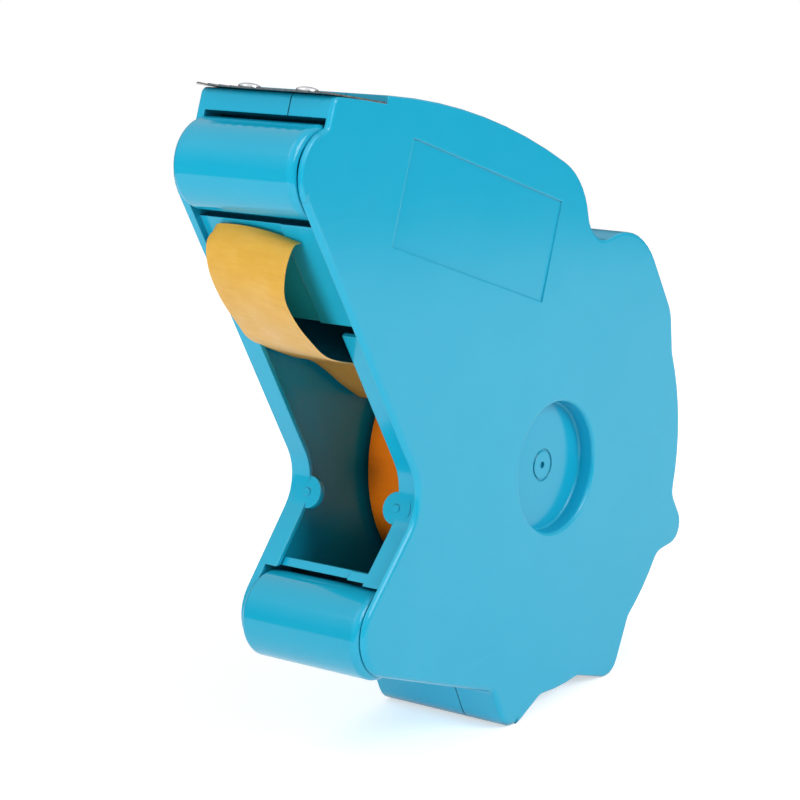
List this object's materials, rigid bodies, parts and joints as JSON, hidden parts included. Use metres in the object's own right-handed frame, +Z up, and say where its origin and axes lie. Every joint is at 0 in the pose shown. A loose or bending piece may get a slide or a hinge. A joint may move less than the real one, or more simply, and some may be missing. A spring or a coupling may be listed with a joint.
{
  "type": "masking tape applicator",
  "caption": "Hand-held masking tape applicator: a two-part moulded case round a tape roll, with a guide roller above and below its window and a serrated cutter blade on top.",
  "frame": {"origin": "centre of the bounding box's bottom, on the surface that the applicator stands on", "axes": "+X across the width towards the cover shell, +Y from the rollers to the round back, +Z up; the case leans forward 22.1 degrees, standing on its foot and middle grip"},
  "size_m": [0.033, 0.1322, 0.1429],
  "materials": {
    "shell_plastic": "turquoise-blue injection-moulded plastic, semi-gloss",
    "roller_plastic": "the same blue plastic, smooth and semi-gloss",
    "plug_plastic": "blue plastic, plain moulded",
    "hub_plastic": "off-white plastic, plain moulded",
    "bright_steel": "bright plated steel",
    "blade_steel": "rolled blade strip, satin",
    "core_card": "wound grey-brown card tube",
    "tape_paper": "creped masking paper, yellow-orange, matte"
  },
  "bodies": {
    "case": {"base_shell": "shell_plastic", "cover_shell": "shell_plastic", "upper_roller_axle": "bright_steel", "lower_roller_axle": "bright_steel", "cutter_blade": "blade_steel", "blade_screw_base": "bright_steel", "blade_screw_cover": "bright_steel", "tape_tail": "tape_paper", "case_screw_top": "bright_steel", "case_screw_back": "bright_steel", "case_screw_foot": "bright_steel"},
    "upper_roller_set": {"upper_roller": "roller_plastic", "upper_roller_plug_base": "plug_plastic", "upper_roller_plug_cover": "plug_plastic"},
    "lower_roller_set": {"lower_roller": "roller_plastic", "lower_roller_plug_base": "plug_plastic", "lower_roller_plug_cover": "plug_plastic"},
    "tape_spool": {"tape_hub": "hub_plastic", "tape_core": "core_card", "tape_roll": "tape_paper"}
  },
  "joints": [
    {"name": "upper_roller_spin", "type": "hinge", "parent": "case", "child": "upper_roller_set", "pos_m": [0, -0.05708, 0.12724], "axis": [1, 0, 0], "continuous": true},
    {"name": "lower_roller_spin", "type": "hinge", "parent": "case", "child": "lower_roller_set", "pos_m": [0, -0.04417, 0.03253], "axis": [1, 0, 0], "continuous": true},
    {"name": "tape_spin", "type": "hinge", "parent": "case", "child": "tape_spool", "pos_m": [0, 0.01633, 0.05286], "axis": [1, 0, 0], "continuous": true}
  ]
}
